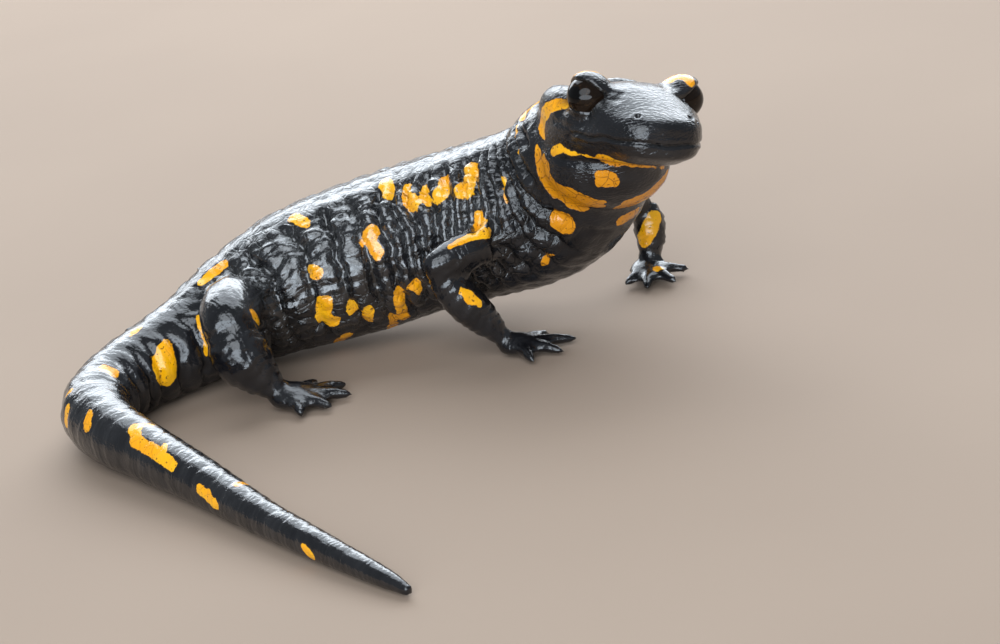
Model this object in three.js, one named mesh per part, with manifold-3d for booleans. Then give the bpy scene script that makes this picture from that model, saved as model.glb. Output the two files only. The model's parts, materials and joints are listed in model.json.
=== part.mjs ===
// Fire salamander, life size, resting on its belly and tail with chest and head held up.
// Millimetres, +Z up. Left and right are the animal's own.
import * as THREE from 'three';
import Module from 'manifold-3d';
import { mergeVertices } from 'three/addons/utils/BufferGeometryUtils.js';

const wasm = await Module();
wasm.setup();

// ---- driving dimensions ----

const GAP = 0.3;                 // clear space between neighbouring pieces

// Middle line from the tail tip to inside the head: [x, y, z, half width, half height].
// The tail and the hips lie on the floor, the trunk climbs, and the neck stands steep.
const BODY_LINE = [
  [3.5, -50.3, 0.7, 0.7, 0.8],
  [1.0, -46.8, 1.1, 1.3, 1.3],
  [-5.9, -37.1, 1.7, 1.9, 1.9],
  [-13.9, -25.2, 2.3, 2.4, 2.5],
  [-21.3, -13.2, 3.0, 3.1, 3.2],
  [-28.2, -2.9, 3.7, 3.8, 3.9],
  [-33.4, 5.0, 4.3, 4.4, 4.5],
  [-35.9, 13.0, 4.7, 4.9, 4.9],
  [-32.8, 20.6, 5.1, 5.4, 5.3],
  [-27.2, 25.5, 5.7, 6.2, 5.9],
  [-21.6, 29.4, 6.6, 7.4, 6.8],
  [-15.6, 32.8, 8.2, 8.8, 8.3],
  [-8.0, 34.6, 10.1, 10.4, 9.9],
  [1.6, 35.2, 11.6, 11.6, 10.6],
  [11.6, 34.8, 13.3, 11.4, 10.7],
  [20.0, 32.6, 14.9, 10.8, 11.0],
  [26.4, 29.8, 16.6, 10.3, 11.2],
  [31.0, 27.2, 19.6, 10.1, 10.8],
  [34.0, 25.2, 24.0, 10.4, 10.2],
  [36.3, 23.2, 27.9, 9.7, 8.0],
  [38.0, 19.2, 27.6, 8.4, 4.6],
];

// The lengths the body line is divided into: [name, from, to], in mm from the tail tip.
const BODY_PIECES = [
  ['tail_tip', 0, 27],
  ['tail_middle', 27, 58],
  ['tail_bend', 58, 80],
  ['tail_base', 80, 96],
  ['hips', 96, 111],
  ['trunk', 111, 136],
  ['chest', 136, 154],
  ['neck', 154, 176],
];

// Head, drawn about the joint with the neck: x right, y forward, z up.
const HEAD_JOINT = [37.4, 22.7, 30.0];
const HEAD_TURN = -159;          // degrees about the upright
const HEAD_LIFT = 7;             // degrees, snout raised
const HEAD_TILT = -17;           // degrees, left side lowered
const HEAD_SECTIONS = [          // [forward, half width, top, bottom]
  [-5.0, 8.8, 2.2, -9.0],
  [0.0, 9.6, 3.0, -8.6],
  [4.0, 9.8, 4.1, -7.6],
  [8.0, 9.2, 5.0, -6.6],
  [12.0, 8.4, 4.9, -6.0],
  [16.0, 7.5, 3.4, -5.7],
  [20.4, 6.4, 1.8, -5.5],
];
const SNOUT_BLUNTNESS = 0.4;      // 1 closes the snout like a ball, less makes it blunter
const HEAD_SQUARENESS = 0.85;     // 1 is an oval section, less fills its corners
const MOUTH_LEVEL = -2.2;
const MOUTH_CORNER = 9.0;        // forward place of the corner of the mouth
const EYE_PLACE = [6.7, 9.3, 2.9];
const EYE_RADIUS = 2.7;
const LID_RADIUS = 3.45;
const EYE_OPENING = 3.15;         // radius of the hole between the lids
const EYE_LOOK = [0.78, 0.52, -0.34];
const GLAND_PLACE = [7.2, 2.4, 0.8];
const GLAND_SIZE = [2.8, 5.4, 3.2];
const THROAT_PLACE = [0.8, 3.0, -6.0];
const THROAT_SIZE = [8.9, 8.6, 6.6];
const NOSTRIL_PLACE = [3.6, 18.2, 1.2];
const NOSTRIL_RADIUS = 0.3;

// Limbs: stations [x, y, z, radius] of the upper length, from inside the body to the elbow
// or knee, and of the lower length, from there to the wrist or ankle; then the middle of
// the palm or sole and the toe tips, and a direction that no part of the limb points along.
const LIMBS = [
  {
    side: 'right', names: ['upper_arm', 'forearm', 'hand'], across: [0, 1, 0],
    upper: [[25.5, 27.5, 14.4, 3.4], [18.4, 21.6, 15.2, 2.9], [10.2, 17.2, 14.4, 2.8]],
    lower: [[11.6, 18.4, 14.0, 2.8], [14.6, 18.8, 8.8, 2.9], [19.4, 19.2, 2.0, 2.0]],
    palm: [20.6, 19.0, 1.3],
    toes: [[22.6, 12.8], [27.0, 14.6], [29.2, 18.6], [25.6, 22.6]],
  },
  {
    side: 'left', names: ['upper_arm', 'forearm', 'hand'], across: [0, 1, 0],
    upper: [[29.5, 32.0, 14.6, 3.4], [35.8, 37.4, 13.4, 3.0], [42.2, 41.6, 10.2, 2.8]],
    lower: [[41.6, 41.2, 10.4, 2.7], [42.2, 40.8, 6.2, 2.6], [41.2, 39.6, 1.9, 1.9]],
    palm: [40.8, 38.6, 1.3],
    toes: [[36.8, 35.0], [40.0, 32.2], [44.4, 33.0], [46.8, 37.4]],
  },
  {
    side: 'right', names: ['thigh', 'shin', 'foot'], across: [1, 0, 0],
    upper: [[-15.2, 31.0, 9.8, 4.3], [-16.4, 22.6, 12.0, 4.4], [-17.0, 14.2, 11.9, 4.2]],
    lower: [[-16.9, 17.2, 11.6, 4.1], [-15.6, 15.4, 7.2, 3.9], [-11.6, 14.1, 2.3, 2.5]],
    palm: [-10.2, 14.0, 1.5],
    toes: [[-8.8, 8.0], [-4.6, 9.4], [-1.8, 12.8], [-2.4, 16.8], [-6.4, 19.6]],
  },
  {
    side: 'left', names: ['thigh', 'shin', 'foot'], across: [1, 0, 0],
    upper: [[-17.0, 36.0, 8.6, 4.2], [-19.8, 41.4, 8.0, 3.8], [-22.8, 47.2, 6.6, 3.4]],
    lower: [[-22.0, 45.6, 7.0, 3.2], [-23.8, 47.0, 4.9, 2.8], [-27.4, 47.8, 2.0, 2.1]],
    palm: [-28.8, 48.0, 1.5],
    toes: [[-27.4, 54.0], [-31.6, 54.4], [-35.2, 52.0], [-36.4, 48.0], [-33.6, 43.8]],
  },
];
const PALM_SIZE = { hand: [2.7, 2.7, 1.5], foot: [3.2, 3.2, 1.7] };
const TOE_RADIUS = { hand: 0.95, foot: 1.05 };

// ---- shaping ----

const black = { color: 0x15171b, roughness: 0.32, metalness: 0 };
const dark = { color: 0x0d0907, roughness: 0.08, metalness: 0 };

function solidOf(geometry) {
  geometry.deleteAttribute('normal');
  geometry.deleteAttribute('uv');
  const merged = mergeVertices(geometry, 1e-4);
  return new wasm.Manifold(new wasm.Mesh({
    numProp: 3,
    vertProperties: new Float32Array(merged.attributes.position.array),
    triVerts: new Uint32Array(merged.index.array),
  }));
}

// Moves every vertex of a blank to where the rule puts it.
function shaped(blank, rule) {
  const place = blank.attributes.position;
  const vertex = new THREE.Vector3();
  for (let i = 0; i < place.count; i += 1) {
    vertex.fromBufferAttribute(place, i);
    rule(vertex);
    place.setXYZ(i, vertex.x, vertex.y, vertex.z);
  }
  return solidOf(blank);
}

// An oval bar along a line of stations, from one distance to another. Its ends are cut
// square, or closed round.
function bar(stations, options) {
  const { from = 0, to = Infinity, sides = 12, step = 2, round = false, grow = 0 } = options;
  const line = new THREE.CatmullRomCurve3(stations.map(([x, y, z]) => new THREE.Vector3(x, y, z)));
  const sizes = new THREE.CatmullRomCurve3(stations.map((s) => new THREE.Vector3(s[3], s[4] ?? s[3], 0)));
  const across = new THREE.Vector3(...(options.across ?? [0, 0, 1]));
  const length = line.getLength();
  const last = Math.min(to, length);
  const rings = Math.max(3, Math.round((last - from) / step));
  const blank = round
    ? new THREE.SphereGeometry(1, sides, rings)
    : new THREE.CylinderGeometry(1, 1, 2, sides, rings);
  return shaped(blank, (vertex) => {
    const along = THREE.MathUtils.mapLinear(vertex.y, -1, 1, from, last) / length;
    const middle = line.getPointAt(along);
    const ahead = line.getTangentAt(along);
    const size = sizes.getPoint(line.getUtoTmapping(along));
    const up = across.clone().addScaledVector(ahead, -across.dot(ahead)).normalize();
    const side = ahead.clone().cross(up);
    const reach = Math.hypot(vertex.x, vertex.z);
    const swell = round && reach > 0 ? 1 / Math.sqrt(reach) : 1;
    const wide = vertex.x * swell * (size.x + grow);
    const high = vertex.z * swell * (size.y + grow);
    vertex.copy(middle).addScaledVector(side, wide).addScaledVector(up, high);
  });
}

function ball(middle, size, sides = 16, rings = 12) {
  const blank = new THREE.SphereGeometry(1, sides, rings);
  blank.scale(...size);
  blank.translate(...middle);
  return solidOf(blank);
}

function block(middle, size) {
  const blank = new THREE.BoxGeometry(...size);
  blank.translate(...middle);
  return solidOf(blank);
}

// A round rod from one point towards another.
function rod(start, direction, radius, length, sides = 16) {
  const blank = new THREE.CylinderGeometry(radius, radius, length, sides);
  blank.translate(0, length / 2, 0);
  const turn = new THREE.Quaternion().setFromUnitVectors(
    new THREE.Vector3(0, 1, 0),
    new THREE.Vector3(...direction).normalize(),
  );
  blank.applyQuaternion(turn);
  blank.translate(...start);
  return solidOf(blank);
}

// The flat underside: everything below the floor is cut away.
function onFloor(solid) {
  return solid.trimByPlane([0, 0, 1], 0);
}

const salamander = new THREE.Group();
salamander.name = 'salamander';

function keep(name, solid, look) {
  const { vertProperties, triVerts } = solid.getMesh();
  const geometry = new THREE.BufferGeometry();
  geometry.setAttribute('position', new THREE.BufferAttribute(new Float32Array(vertProperties), 3));
  geometry.setIndex(new THREE.BufferAttribute(new Uint32Array(triVerts), 1));
  geometry.computeVertexNormals();
  const mesh = new THREE.Mesh(geometry, new THREE.MeshStandardMaterial(look));
  mesh.name = name;
  salamander.add(mesh);
}

// ---- head ----

const headTurn = new THREE.Matrix4().makeRotationFromEuler(new THREE.Euler(
  THREE.MathUtils.degToRad(HEAD_LIFT),
  THREE.MathUtils.degToRad(HEAD_TILT),
  THREE.MathUtils.degToRad(HEAD_TURN),
  'ZXY',
)).setPosition(...HEAD_JOINT);

function mirrored([x, y, z], side) {
  return [x * side, y, z];
}

function squared(value) {
  return Math.sign(value) * Math.abs(value) ** HEAD_SQUARENESS;
}

function skull(grow) {
  const sections = new THREE.CatmullRomCurve3(
    HEAD_SECTIONS.map(([, wide, top, bottom]) => new THREE.Vector3(wide, top, bottom)),
  );
  const places = HEAD_SECTIONS.map(([forward]) => forward);
  const back = places[0] - grow;
  const front = places[places.length - 1] + grow;
  return shaped(new THREE.SphereGeometry(1, 22, 16), (vertex) => {
    const forward = THREE.MathUtils.mapLinear(vertex.y, -1, 1, back, front);
    const after = Math.min(places.length - 2, Math.max(0, places.findLastIndex((p) => p <= forward)));
    const share = (forward - places[after]) / (places[after + 1] - places[after]);
    const section = sections.getPoint(THREE.MathUtils.clamp((after + share) / (places.length - 1), 0, 1));
    const middle = (section.y + section.z) / 2;
    const high = (section.y - section.z) / 2 + grow;
    const reach = Math.hypot(vertex.x, vertex.z);
    const swell = reach ** SNOUT_BLUNTNESS;
    const round = Math.atan2(vertex.z, vertex.x);
    vertex.set(
      squared(Math.cos(round)) * swell * (section.x + grow),
      forward,
      middle + squared(Math.sin(round)) * swell * high,
    );
  });
}

function headWhole(grow) {
  let whole = skull(grow);
  whole = whole.add(ball(THROAT_PLACE, THROAT_SIZE.map((size) => size + grow), 16, 10));
  for (const side of [-1, 1]) {
    whole = whole.add(ball(mirrored(GLAND_PLACE, side), GLAND_SIZE.map((size) => size + grow), 10, 8));
    whole = whole.add(ball(mirrored(EYE_PLACE, side), [1, 1, 1].map((unit) => unit * (LID_RADIUS + grow)), 14, 10));
  }
  return whole;
}

let head = headWhole(0);
for (const side of [-1, 1]) {
  const eye = mirrored(EYE_PLACE, side);
  const socket = EYE_RADIUS + GAP;
  head = head.subtract(ball(eye, [socket, socket, socket], 14, 10));
  head = head.subtract(rod(eye, mirrored(EYE_LOOK, side), EYE_OPENING, 8, 16));
  head = head.subtract(rod(mirrored(NOSTRIL_PLACE, side), [side * 0.5, 0.6, 0.6], NOSTRIL_RADIUS, 4, 6));
  const eyeball = ball(eye, [EYE_RADIUS, EYE_RADIUS, EYE_RADIUS], 16, 12);
  keep(side > 0 ? 'eye_right' : 'eye_left', eyeball.transform(headTurn.elements), dark);
}

const JAW_DEPTH = 20;
const jawRoom = block(
  [0, MOUTH_CORNER + JAW_DEPTH / 2, MOUTH_LEVEL - JAW_DEPTH / 2],
  [40, JAW_DEPTH, JAW_DEPTH],
);
const jawRoomGrown = block(
  [0, MOUTH_CORNER + JAW_DEPTH / 2 - GAP, MOUTH_LEVEL - JAW_DEPTH / 2 + GAP],
  [40, JAW_DEPTH, JAW_DEPTH],
);
keep('head', head.subtract(jawRoomGrown).transform(headTurn.elements), black);
keep('lower_jaw', head.intersect(jawRoom).transform(headTurn.elements), black);

// ---- body ----

const headRoom = headWhole(GAP).transform(headTurn.elements);
for (const [name, from, to] of BODY_PIECES) {
  const piece = bar(BODY_LINE, { from: from + (from > 0 ? GAP : 0), to, sides: 18, step: 3.2 });
  keep(name, onFloor(piece).subtract(headRoom), black);
}

// ---- limbs ----

const bodyRoom = bar(BODY_LINE, { sides: 18, step: 3.2, grow: GAP });
for (const limb of LIMBS) {
  const { side, names, across, palm, toes } = limb;
  const [upperName, lowerName, endName] = names;
  const round = { across, sides: 10, step: 1.8, round: true };
  const upper = bar(limb.upper, round);
  const lower = bar(limb.lower, round);
  const upperRoom = bar(limb.upper, { ...round, grow: GAP });
  const lowerRoom = bar(limb.lower, { ...round, grow: GAP });
  let end = ball(palm, PALM_SIZE[endName], 12, 6);
  for (const [x, y] of toes) {
    const radius = TOE_RADIUS[endName];
    const toe = [
      [palm[0], palm[1], radius + 0.3, radius],
      [(palm[0] + x) / 2, (palm[1] + y) / 2, radius + 0.2, radius],
      [x, y, radius * 0.6, radius * 0.7],
    ];
    end = end.add(bar(toe, { sides: 7, step: 1.6, round: true }));
  }
  keep(`${upperName}_${side}`, onFloor(upper).subtract(bodyRoom), black);
  keep(`${lowerName}_${side}`, onFloor(lower).subtract(bodyRoom).subtract(upperRoom), black);
  keep(`${endName}_${side}`, onFloor(end).subtract(lowerRoom).subtract(bodyRoom), black);
}

// The middle of the whole box stands over the origin.
const box = new THREE.Box3().setFromObject(salamander);
const middle = box.getCenter(new THREE.Vector3());
for (const mesh of salamander.children) {
  mesh.geometry.translate(-middle.x, -middle.y, 0);
}

export default salamander;
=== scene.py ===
# %% [markdown]
# # A fire salamander at life size
# The animal lies on its belly and tail and lifts its chest and head. Its black hide is wet,
# finely wrinkled and spotted with yellow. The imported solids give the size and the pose. Here
# they are dressed: one hide without seams, two eyeballs, a plain floor and soft light.

import json
import math

import bpy
import numpy as np
from mathutils import Matrix, Vector
from mathutils.kdtree import KDTree

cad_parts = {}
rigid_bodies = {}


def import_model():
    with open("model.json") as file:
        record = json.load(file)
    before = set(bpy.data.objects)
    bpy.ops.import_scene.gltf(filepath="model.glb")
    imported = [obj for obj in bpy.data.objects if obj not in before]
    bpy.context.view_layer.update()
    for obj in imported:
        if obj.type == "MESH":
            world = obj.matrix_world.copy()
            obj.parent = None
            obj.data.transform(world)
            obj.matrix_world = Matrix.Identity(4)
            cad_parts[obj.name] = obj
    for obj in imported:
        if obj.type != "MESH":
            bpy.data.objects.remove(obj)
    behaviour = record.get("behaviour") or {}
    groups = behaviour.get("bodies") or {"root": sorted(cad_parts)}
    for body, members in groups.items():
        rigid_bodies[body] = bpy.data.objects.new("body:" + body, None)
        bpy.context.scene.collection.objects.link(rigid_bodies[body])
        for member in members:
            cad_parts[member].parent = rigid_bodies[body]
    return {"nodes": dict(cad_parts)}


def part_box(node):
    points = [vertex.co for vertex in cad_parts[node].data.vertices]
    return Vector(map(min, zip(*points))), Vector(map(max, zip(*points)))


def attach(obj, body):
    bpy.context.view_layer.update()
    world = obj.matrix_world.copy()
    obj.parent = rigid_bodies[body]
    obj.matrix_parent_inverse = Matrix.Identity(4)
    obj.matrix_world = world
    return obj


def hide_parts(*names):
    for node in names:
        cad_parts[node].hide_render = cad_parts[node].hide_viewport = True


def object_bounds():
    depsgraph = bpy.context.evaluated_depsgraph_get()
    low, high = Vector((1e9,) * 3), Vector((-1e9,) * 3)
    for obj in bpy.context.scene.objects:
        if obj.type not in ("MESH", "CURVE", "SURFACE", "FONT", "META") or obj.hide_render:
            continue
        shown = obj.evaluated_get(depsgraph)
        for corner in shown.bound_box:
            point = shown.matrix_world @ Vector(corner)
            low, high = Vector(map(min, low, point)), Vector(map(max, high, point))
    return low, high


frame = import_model()
solid_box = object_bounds()
MM = 0.001
print("solids:", len(frame["nodes"]))

# %% [markdown]
# ## Small tools
# Blender works on what is selected, so one helper selects a single piece and one applies a
# modifier to it. The hide is shaped much as clay is, by moving many points a little, so other
# helpers read and write all the points of a mesh at once, in millimetres. Where a fold starts
# and ends is told by two soft shapes: a ramp from 0 to 1, and a ridge that is 1 in the middle.

# %% Select a piece, apply a modifier, read and write points


def pick(piece):
    bpy.ops.object.select_all(action="DESELECT")
    piece.select_set(True)
    bpy.context.view_layer.objects.active = piece


def apply_modifier(piece, kind, **settings):
    pick(piece)
    modifier = piece.modifiers.new(kind, kind)
    for name, value in settings.items():
        setattr(modifier, name, value)
    bpy.ops.object.modifier_apply(modifier=kind)


def points_of(piece):
    flat = np.empty(len(piece.data.vertices) * 3)
    piece.data.vertices.foreach_get("co", flat)
    return flat.reshape(-1, 3) / MM


def normals_of(piece):
    flat = np.empty(len(piece.data.vertices) * 3)
    piece.data.vertices.foreach_get("normal", flat)
    return flat.reshape(-1, 3)


def put_points(piece, points):
    piece.data.vertices.foreach_set("co", (points * MM).ravel())
    piece.data.update()


def push_out(piece, distances):
    # Each point moves along the piece's own normal there.
    put_points(piece, points_of(piece) + normals_of(piece) * distances[:, None])


def corners_mm(box):
    return [np.array(corner) / MM for corner in box]


def lengths(vectors):
    return np.linalg.norm(vectors, axis=1)


def ramp(low, high, value):
    share = np.clip((value - low) / (high - low), 0.0, 1.0)
    return share * share * (3.0 - 2.0 * share)


def ridge(distance, width):
    return np.exp(-((distance / width) ** 2))


print("box of the solids in mm:", *(corner.round(1) for corner in corners_mm(solid_box)))

# %% [markdown]
# ## The camera
# The animal is seen from its right side and a little from above, with the head turned to the
# viewer. The camera leans, so the floor rises to the right. It comes first, because the
# framing decides how fine each part of the hide has to be.

# %% Camera
AIM = Vector((14.1, -1.8, 12.0)) * MM
CAMERA_RISE = math.radians(21.0)
CAMERA_LEAN = math.radians(10.0)
CAMERA_DISTANCE = 400.0 * MM
LENS = 112.3

back = Vector((0.0, -math.cos(CAMERA_RISE), math.sin(CAMERA_RISE)))
right = Vector((1.0, 0.0, 0.0))
up = back.cross(right)
lean_right = right * math.cos(CAMERA_LEAN) - up * math.sin(CAMERA_LEAN)
lean_up = right * math.sin(CAMERA_LEAN) + up * math.cos(CAMERA_LEAN)
camera_turn = Matrix((lean_right, lean_up, back)).transposed().to_4x4()
bpy.ops.object.camera_add()
camera = bpy.context.object
camera.name = "camera"
camera.matrix_world = Matrix.Translation(AIM + back * CAMERA_DISTANCE) @ camera_turn
camera.data.lens = LENS
camera.data.clip_start = 10 * MM
bpy.context.scene.camera = camera
print("camera height in mm:", round(camera.matrix_world.translation.z / MM))

# %% [markdown]
# ## The hide, rough
# The skin of a real salamander runs over everything without a seam. So copies of all the
# flesh solids are swelled a little until they touch, joined with balls that fill the eye
# sockets, and wrapped by one even net of small faces, which the Remesh modifier makes.

# %% Join copies of the flesh
EYES = ("eye_right", "eye_left")
SWELL = 0.22
SAME_POINT = 0.002
SOCKET = 3.3

flesh = [name for name in frame["nodes"] if name not in EYES]
copies = []
for name in flesh:
    copy = frame["nodes"][name].copy()
    copy.data = frame["nodes"][name].data.copy()
    bpy.context.scene.collection.objects.link(copy)
    copies.append(copy)
for copy in copies:
    pick(copy)
    bpy.ops.object.mode_set(mode="EDIT")
    bpy.ops.mesh.select_all(action="SELECT")
    bpy.ops.mesh.remove_doubles(threshold=SAME_POINT * MM)
    bpy.ops.object.mode_set(mode="OBJECT")
    apply_modifier(copy, "DISPLACE", mid_level=0.0, strength=SWELL * MM)
eye_middles = {}
for name in EYES:
    low, high = (Vector(corner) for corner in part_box(name))
    eye_middles[name] = (low + high) / 2
    bpy.ops.mesh.primitive_uv_sphere_add(
        segments=32, ring_count=20, radius=SOCKET * MM, location=eye_middles[name]
    )
    bpy.ops.object.transform_apply(location=True, rotation=True, scale=True)
    copies.append(bpy.context.object)
bpy.ops.object.select_all(action="DESELECT")
for copy in copies:
    copy.select_set(True)
hide = copies[0]
bpy.context.view_layer.objects.active = hide
bpy.ops.object.join()
hide.name = "hide"
hide.data.name = "hide"
print("joined flesh:", len(hide.data.vertices), "points")

# %% Wrap it in one even net
NET = 0.48
apply_modifier(hide, "REMESH", mode="VOXEL", voxel_size=NET * MM, use_smooth_shade=True)
apply_modifier(hide, "DISPLACE", mid_level=0.0, strength=-SWELL * MM)
print("hide:", len(hide.data.vertices), "points,", len(hide.data.polygons), "faces")

# %% [markdown]
# ## Where on the animal is a point?
# Folds, glands and spots follow the body, so every point of the hide gets body coordinates:
# how far it is along a line through the middle of the animal, and how far round from the
# back. The line runs from the tail tip to inside the head. Head points get coordinates of
# their own: to the right, forward and up from the joint of the neck.

# %% The head's own directions
HEAD_JOINT_DRAWN = np.array([37.4, 22.7, 30.0])
EYE_AHEAD, EYE_UP = 9.3, 2.9
head_turn = (
    Matrix.Rotation(math.radians(-159.0), 3, "Z")
    @ Matrix.Rotation(math.radians(7.0), 3, "X")
    @ Matrix.Rotation(math.radians(-17.0), 3, "Y")
)
head_axes = np.array(head_turn)
between_eyes = np.mean([np.array(middle) / MM for middle in eye_middles.values()], axis=0)
HEAD_JOINT = between_eyes - head_axes @ [0, EYE_AHEAD, EYE_UP]
print("head joint in mm:", HEAD_JOINT.round(2).tolist())


def in_head(points):
    return (points - HEAD_JOINT) @ head_axes


def head_part(local):
    # 1 on the head, fading to 0 at the neck and on everything else.
    near = lengths(local - [0, 9, -2])
    return ramp(-4.0, -0.5, local[:, 1]) * (1 - ramp(14.5, 16.0, near))


eyes = {name: in_head(np.array(middle)[None] / MM)[0] for name, middle in eye_middles.items()}
print("eyes in the head's coordinates:", *(eye.round(1) for eye in eyes.values()))

# %% The middle line
MIDDLE_LINE = np.array([   # x, y, z, half width, half height, in mm, as first drawn
    (3.5, -50.3, 0.7, 0.7, 0.8),
    (1.0, -46.8, 1.1, 1.3, 1.3),
    (-5.9, -37.1, 1.7, 1.9, 1.9),
    (-13.9, -25.2, 2.3, 2.4, 2.5),
    (-21.3, -13.2, 3.0, 3.1, 3.2),
    (-28.2, -2.9, 3.7, 3.8, 3.9),
    (-33.4, 5.0, 4.3, 4.4, 4.5),
    (-35.9, 13.0, 4.7, 4.9, 4.9),
    (-32.8, 20.6, 5.1, 5.4, 5.3),
    (-27.2, 25.5, 5.7, 6.2, 5.9),
    (-21.6, 29.4, 6.6, 7.4, 6.8),
    (-15.6, 32.8, 8.2, 8.8, 8.3),
    (-8.0, 34.6, 10.1, 10.4, 9.9),
    (1.6, 35.2, 11.6, 11.6, 10.6),
    (11.6, 34.8, 13.3, 11.4, 10.7),
    (20.0, 32.6, 14.9, 10.8, 11.0),
    (26.4, 29.8, 16.6, 10.3, 11.2),
    (31.0, 27.2, 19.6, 10.1, 10.8),
    (34.0, 25.2, 24.0, 10.4, 10.2),
    (36.3, 23.2, 27.9, 9.7, 8.0),
    (38.0, 19.2, 27.6, 8.4, 4.6),
])


def as_packed(places):
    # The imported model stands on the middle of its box, so what was drawn moves with the head.
    return np.array(places) + HEAD_JOINT - HEAD_JOINT_DRAWN


def flowing(stations, per_span=24):
    # Catmull-Rom: a smooth curve through every station.
    padded = np.vstack([2 * stations[0] - stations[1], stations, 2 * stations[-1] - stations[-2]])
    share = np.linspace(0, 1, per_span, endpoint=False)[:, None]
    spans = []
    for i in range(len(stations) - 1):
        a, b, c, d = padded[i : i + 4]
        straight = 2 * b + (c - a) * share
        bent = (2 * a - 5 * b + 4 * c - d) * share**2
        spans.append(0.5 * (straight + bent + (3 * b - a - 3 * c + d) * share**3))
    return np.vstack([*spans, stations[-1:]])


line = flowing(MIDDLE_LINE)
line_points, line_sizes = as_packed(line[:, :3]), line[:, 3:]
steps = lengths(np.diff(line_points, axis=0))
line_run = np.concatenate([[0], np.cumsum(steps)])
line_ahead = np.gradient(line_points, line_run, axis=0)
line_ahead /= lengths(line_ahead)[:, None]
line_up = [0, 0, 1] - line_ahead * line_ahead[:, 2:3]
line_up /= lengths(line_up)[:, None]
line_right = np.cross(line_ahead, line_up)
print("tail tip to the line's end in the head, in mm:", round(line_run[-1], 1))
AT_ONCE = 4000


def along_body(points):
    # Distance along the line, angle round from the back (right is positive), and how far the
    # point is away from the line: as a share of the body's half size there, and in mm.
    nearest = np.empty(len(points), dtype=int)
    for start in range(0, len(points), AT_ONCE):
        part = points[start : start + AT_ONCE, None, :]
        nearest[start : start + AT_ONCE] = ((part - line_points) ** 2).sum(2).argmin(1)
    offset = points - line_points[nearest]
    ahead = (offset * line_ahead[nearest]).sum(1)
    sideways = (offset * line_right[nearest]).sum(1)
    upward = (offset * line_up[nearest]).sum(1)
    angle = np.degrees(np.arctan2(sideways, upward))
    sizes = line_sizes[nearest]
    share = np.hypot(sideways / sizes[:, 0], upward / sizes[:, 1])
    return line_run[nearest] + ahead, angle, share, np.hypot(sideways, upward)


# %% [markdown]
# ## The hide, smoothed and refined
# The Smooth modifier melts the marks of the joints, and less of it on the toes, which would
# grow thin. Then the face is divided finer, and the eyelids finer again, because the lids,
# lips and nostrils are small.

# %% Smooth, with the toes held
TOE_SOFTNESS = 0.35


def near_toes(points):
    # 1 within half a millimetre of the box of a hand or a foot, and 0 elsewhere.
    near = np.zeros(len(points))
    for name in ("hand_right", "hand_left", "foot_right", "foot_left"):
        low, high = corners_mm(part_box(name))
        near[((points > low - 0.5) & (points < high + 0.5)).all(1)] = 1.0
    return near


toes = near_toes(points_of(hide))
soft = hide.vertex_groups.new(name="soft")
soft.add(np.flatnonzero(toes == 0).tolist(), 1.0, "REPLACE")
soft.add(np.flatnonzero(toes > 0).tolist(), TOE_SOFTNESS, "REPLACE")
apply_modifier(hide, "SMOOTH", factor=0.5, iterations=10, vertex_group="soft")
print("points held at the toes:", int(toes.sum()))

# %% Divide the face and the lids finer


def divide_where(piece, test):
    pick(piece)
    bpy.ops.object.mode_set(mode="EDIT")
    bpy.ops.mesh.select_mode(type="FACE")
    bpy.ops.mesh.select_all(action="DESELECT")
    bpy.ops.object.mode_set(mode="OBJECT")
    middles = np.empty(len(piece.data.polygons) * 3)
    piece.data.polygons.foreach_get("center", middles)
    piece.data.polygons.foreach_set("select", test(middles.reshape(-1, 3) / MM))
    bpy.ops.object.mode_set(mode="EDIT")
    bpy.ops.mesh.subdivide(number_cuts=1, smoothness=0.0)
    bpy.ops.object.mode_set(mode="OBJECT")


def is_face(middles):
    local = in_head(middles)
    return (head_part(local) > 0.5) & (local[:, 1] > 1.5) & (local[:, 2] > -8.5)


def is_lid(middles):
    local = in_head(middles)
    return np.minimum(*(lengths(local - eye) for eye in eyes.values())) < 3.9


divide_where(hide, is_face)
apply_modifier(hide, "SMOOTH", factor=0.5, iterations=3)
divide_where(hide, is_lid)
triangles = sum(len(face.vertices) - 2 for face in hide.data.polygons)
print("hide:", len(hide.data.vertices), "points,", triangles, "triangles")

# %% [markdown]
# ## Folds of the body
# The flank of a fire salamander is cut by upright costal grooves, one to each rib, which stand
# closer together towards the shoulder. Between them the skin swells into short rows of
# pillows, like bricks. Two numbers are worked out for every point and kept on the mesh:
# `ring` counts the grooves along the body and `row` counts the pillows round it, so the folds
# in the mesh and the finer cracks in the material later on fall in the same places. Sums of a
# few waves make the lines waver, and come out the same every time.

# %% Wavering numbers


def waver(points, size, seed):
    # A soft wandering value from about -1 to 1, which changes over `size` mm.
    dice = np.random.default_rng(seed)
    total = np.zeros(len(points))
    for _ in range(7):
        way = dice.normal(size=3)
        way *= dice.uniform(0.7, 1.4) / size / np.linalg.norm(way)
        total += np.sin(2 * np.pi * points @ way + dice.uniform(0, 2 * np.pi))
    return total / 3.2


# %% Count grooves along the body and pillows round it
GROOVES = [   # stations in mm: tail, trunk, then shoulder and neck
    *np.arange(4.0, 100.0, 3.2),
    *(101.5, 105.0, 109.3, 115.0, 120.3, 124.6, 128.0),
    *np.arange(131.0, 182.0, 2.9),
]
ROW_ANGLE = 11.0

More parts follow.
